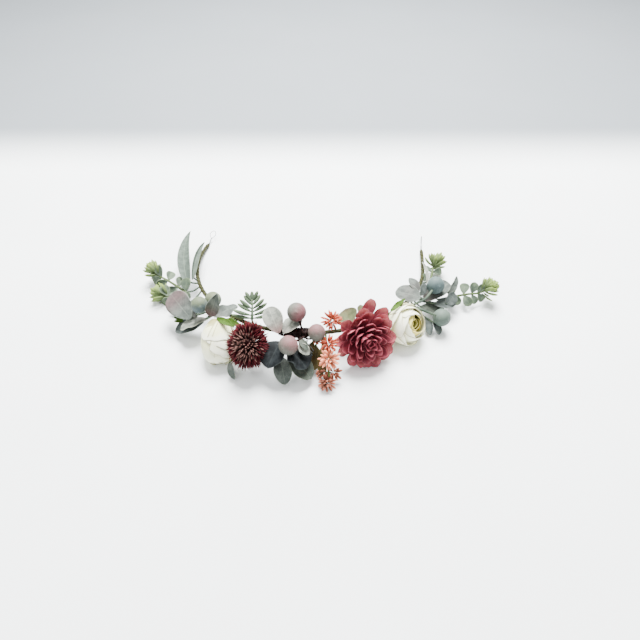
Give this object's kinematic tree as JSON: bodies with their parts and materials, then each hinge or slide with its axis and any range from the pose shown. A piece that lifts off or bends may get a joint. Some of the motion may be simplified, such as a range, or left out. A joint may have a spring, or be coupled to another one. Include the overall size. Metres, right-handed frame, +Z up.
{
  "type": "flower crown",
  "caption": "Half-ring flower crown: a taped wire band carrying cloth blooms, berries and leaf sprigs, with bendable tails and a wire loop at each end for a ribbon.",
  "frame": {"origin": "middle of the crown in plan, on the level of the surface it lies on", "axes": "+X to the end of the crown with the shorter tail, -Y out of the front of the flowers, +Y towards the tails, +Z up"},
  "size_m": [0.3244, 0.198, 0.0479],
  "materials": {
    "floral_tape": "matt waxed paper tape",
    "wire": "satin drawn wire",
    "brown_stem": "matt",
    "green_stem": "matt",
    "dahlia_petal": "matt cloth",
    "rose_petal": "matt cloth",
    "rose_heart": "matt cloth",
    "thistle": "matt bristle",
    "eucalyptus": "matt, frosted",
    "dark_eucalyptus": "matt, frosted",
    "willow": "matt",
    "stonecrop": "matt",
    "sedum": "matt",
    "pink_berry": "matt, frosted",
    "blue_berry": "matt, frosted",
    "coral_flower": "matt cloth"
  },
  "bodies": {
    "crown": {"core_wire": "wire", "band_tape": "floral_tape", "center_wrap": "floral_tape", "center_berry_front": "pink_berry", "center_berry_front_stem": "brown_stem", "center_berry_right": "pink_berry", "center_berry_top": "pink_berry", "center_berry_top_stem": "brown_stem", "center_leaf_dark_left": "dark_eucalyptus", "center_leaf_dark_right": "dark_eucalyptus", "center_leaf_lower_left": "eucalyptus", "center_leaf_lower_right": "eucalyptus", "center_leaf_upper_left": "eucalyptus", "center_leaf_upper_right": "eucalyptus", "coral_flower_bottom": "coral_flower", "coral_flower_lower": "coral_flower", "coral_flower_top": "coral_flower", "coral_flower_upper": "coral_flower", "coral_stem": "green_stem", "dahlia_calyx": "green_stem", "dahlia_inner_petals": "dahlia_petal", "dahlia_leaf_left": "eucalyptus", "dahlia_leaf_right": "eucalyptus", "dahlia_outer_petals": "dahlia_petal", "dahlia_stem": "green_stem", "left_berry_blue": "blue_berry", "left_berry_sage": "blue_berry", "left_leaf_inner": "eucalyptus", "left_leaf_long": "eucalyptus", "left_leaf_round": "eucalyptus", "left_leaf_under": "dark_eucalyptus", "left_leaf_upright": "eucalyptus", "left_rose_calyx": "green_stem", "left_rose_heart": "rose_heart", "left_rose_petals": "rose_petal", "left_sprig_back": "stonecrop", "left_sprig_front": "stonecrop", "right_berry_side": "blue_berry", "right_berry_side_stem": "green_stem", "right_berry_top": "blue_berry", "right_leaf_cupped": "eucalyptus", "right_leaf_lower": "dark_eucalyptus", "right_leaf_round": "eucalyptus", "right_leaf_under": "dark_eucalyptus", "right_rose_calyx": "green_stem", "right_rose_heart": "rose_heart", "right_rose_petals": "rose_petal", "right_sprig_back": "stonecrop", "right_sprig_out": "stonecrop", "sedum_sprig": "sedum", "thistle_bristles": "thistle", "thistle_core": "green_stem", "willow_leaf_slim": "willow", "willow_leaf_tall": "willow"},
    "left_tail": {"left_tail_wire": "wire", "left_tail_tape": "floral_tape"},
    "left_loop": {"left_end_loop": "wire"},
    "right_tail": {"right_tail_wire": "wire", "right_tail_tape": "floral_tape"},
    "right_loop": {"right_end_loop": "wire"}
  },
  "joints": [
    {"name": "left_tail_bend", "type": "hinge", "parent": "crown", "child": "left_tail", "pos_m": [-0.11569, 0.0329, 0.01038], "axis": [0, 0, -1], "range_deg": [-6, 25]},
    {"name": "left_loop_swing", "type": "hinge", "parent": "left_tail", "child": "left_loop", "pos_m": [-0.11297, 0.08532, 0.00169], "axis": [0.96, -0.28, 0], "range_deg": [-5, 60]},
    {"name": "right_tail_bend", "type": "hinge", "parent": "crown", "child": "right_tail", "pos_m": [0.10122, 0.03783, 0.00827], "axis": [0, 0, 1], "range_deg": [-6, 25]},
    {"name": "right_loop_swing", "type": "hinge", "parent": "right_tail", "child": "right_loop", "pos_m": [0.10568, 0.07556, 0.00169], "axis": [-0.0348, -0.373, 0.9272], "range_deg": [-40, 40]}
  ]
}
